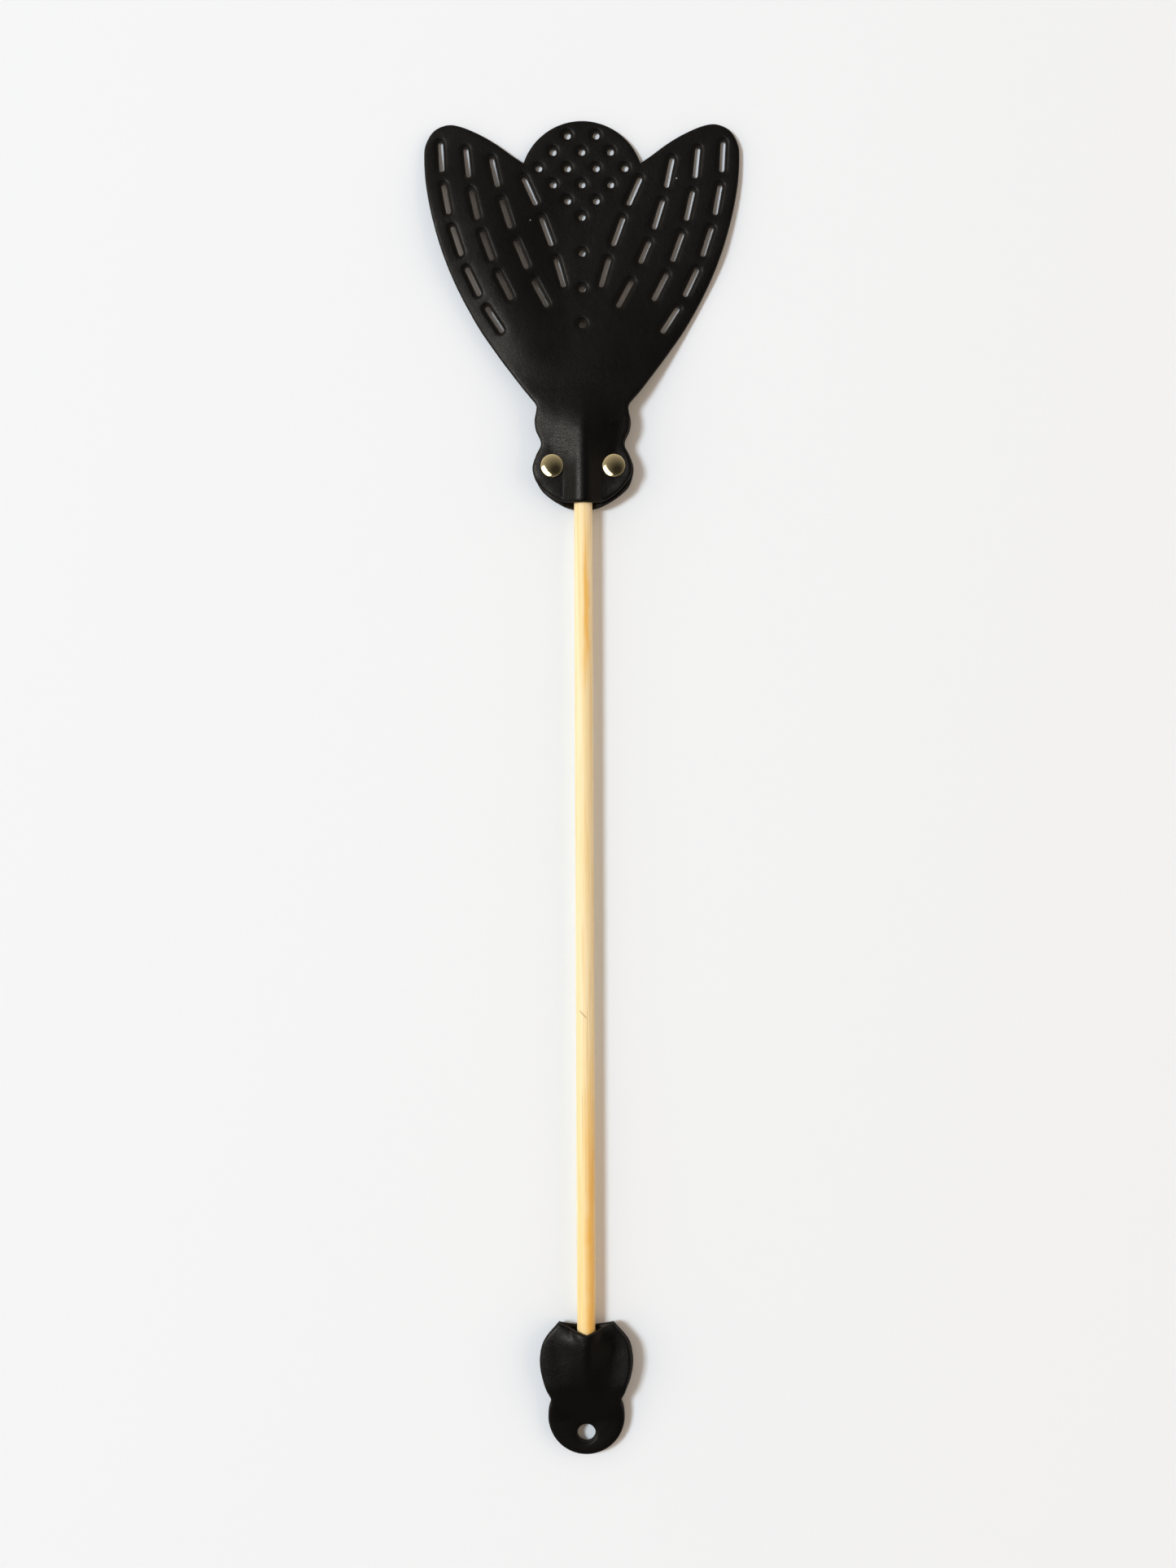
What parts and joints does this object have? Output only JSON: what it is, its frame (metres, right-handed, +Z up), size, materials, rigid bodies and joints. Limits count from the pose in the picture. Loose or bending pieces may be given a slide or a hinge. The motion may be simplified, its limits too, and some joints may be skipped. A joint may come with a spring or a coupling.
{
  "type": "fly swatter",
  "caption": "Leather fly swatter: a perforated fly-shaped leather blade riveted round a slim wooden dowel, with a violin-shaped leather hang tab at the tail.",
  "frame": {"origin": "on the table plane, below the dowel's centre line, half way between the tip of the blade and the end of the hang tab", "axes": "+X across the blade to the right, +Y along the handle towards the blade, +Z up out of the front face"},
  "size_m": [0.1042, 0.44, 0.0101],
  "materials": {
    "pine": "bare sanded softwood",
    "leather": "smooth semi-matte black",
    "brass": "polished"
  },
  "bodies": {
    "handle": {"handle_dowel": "pine", "neck_front": "leather", "neck_back": "leather", "tail_front": "leather", "tail_back": "leather", "rivet_left_front_cap": "brass", "rivet_left_post": "brass", "rivet_left_socket": "brass", "rivet_left_back_cap": "brass", "rivet_right_front_cap": "brass", "rivet_right_post": "brass", "rivet_right_socket": "brass", "rivet_right_back_cap": "brass"},
    "blade": {"blade": "leather"},
    "hang_tab": {"tab_front": "leather", "tab_back": "leather"}
  },
  "joints": [
    {"name": "blade_flex", "type": "hinge", "parent": "handle", "child": "blade", "pos_m": [0, 0.126, 0.00605], "axis": [1, 0, 0], "range_deg": [-40, 40], "stiffness_Nm_per_rad": 0.06},
    {"name": "hang_tab_flex", "type": "hinge", "parent": "handle", "child": "hang_tab", "pos_m": [0, -0.201, 0.00505], "axis": [1, 0, 0], "range_deg": [-25, 25], "stiffness_Nm_per_rad": 0.02}
  ]
}
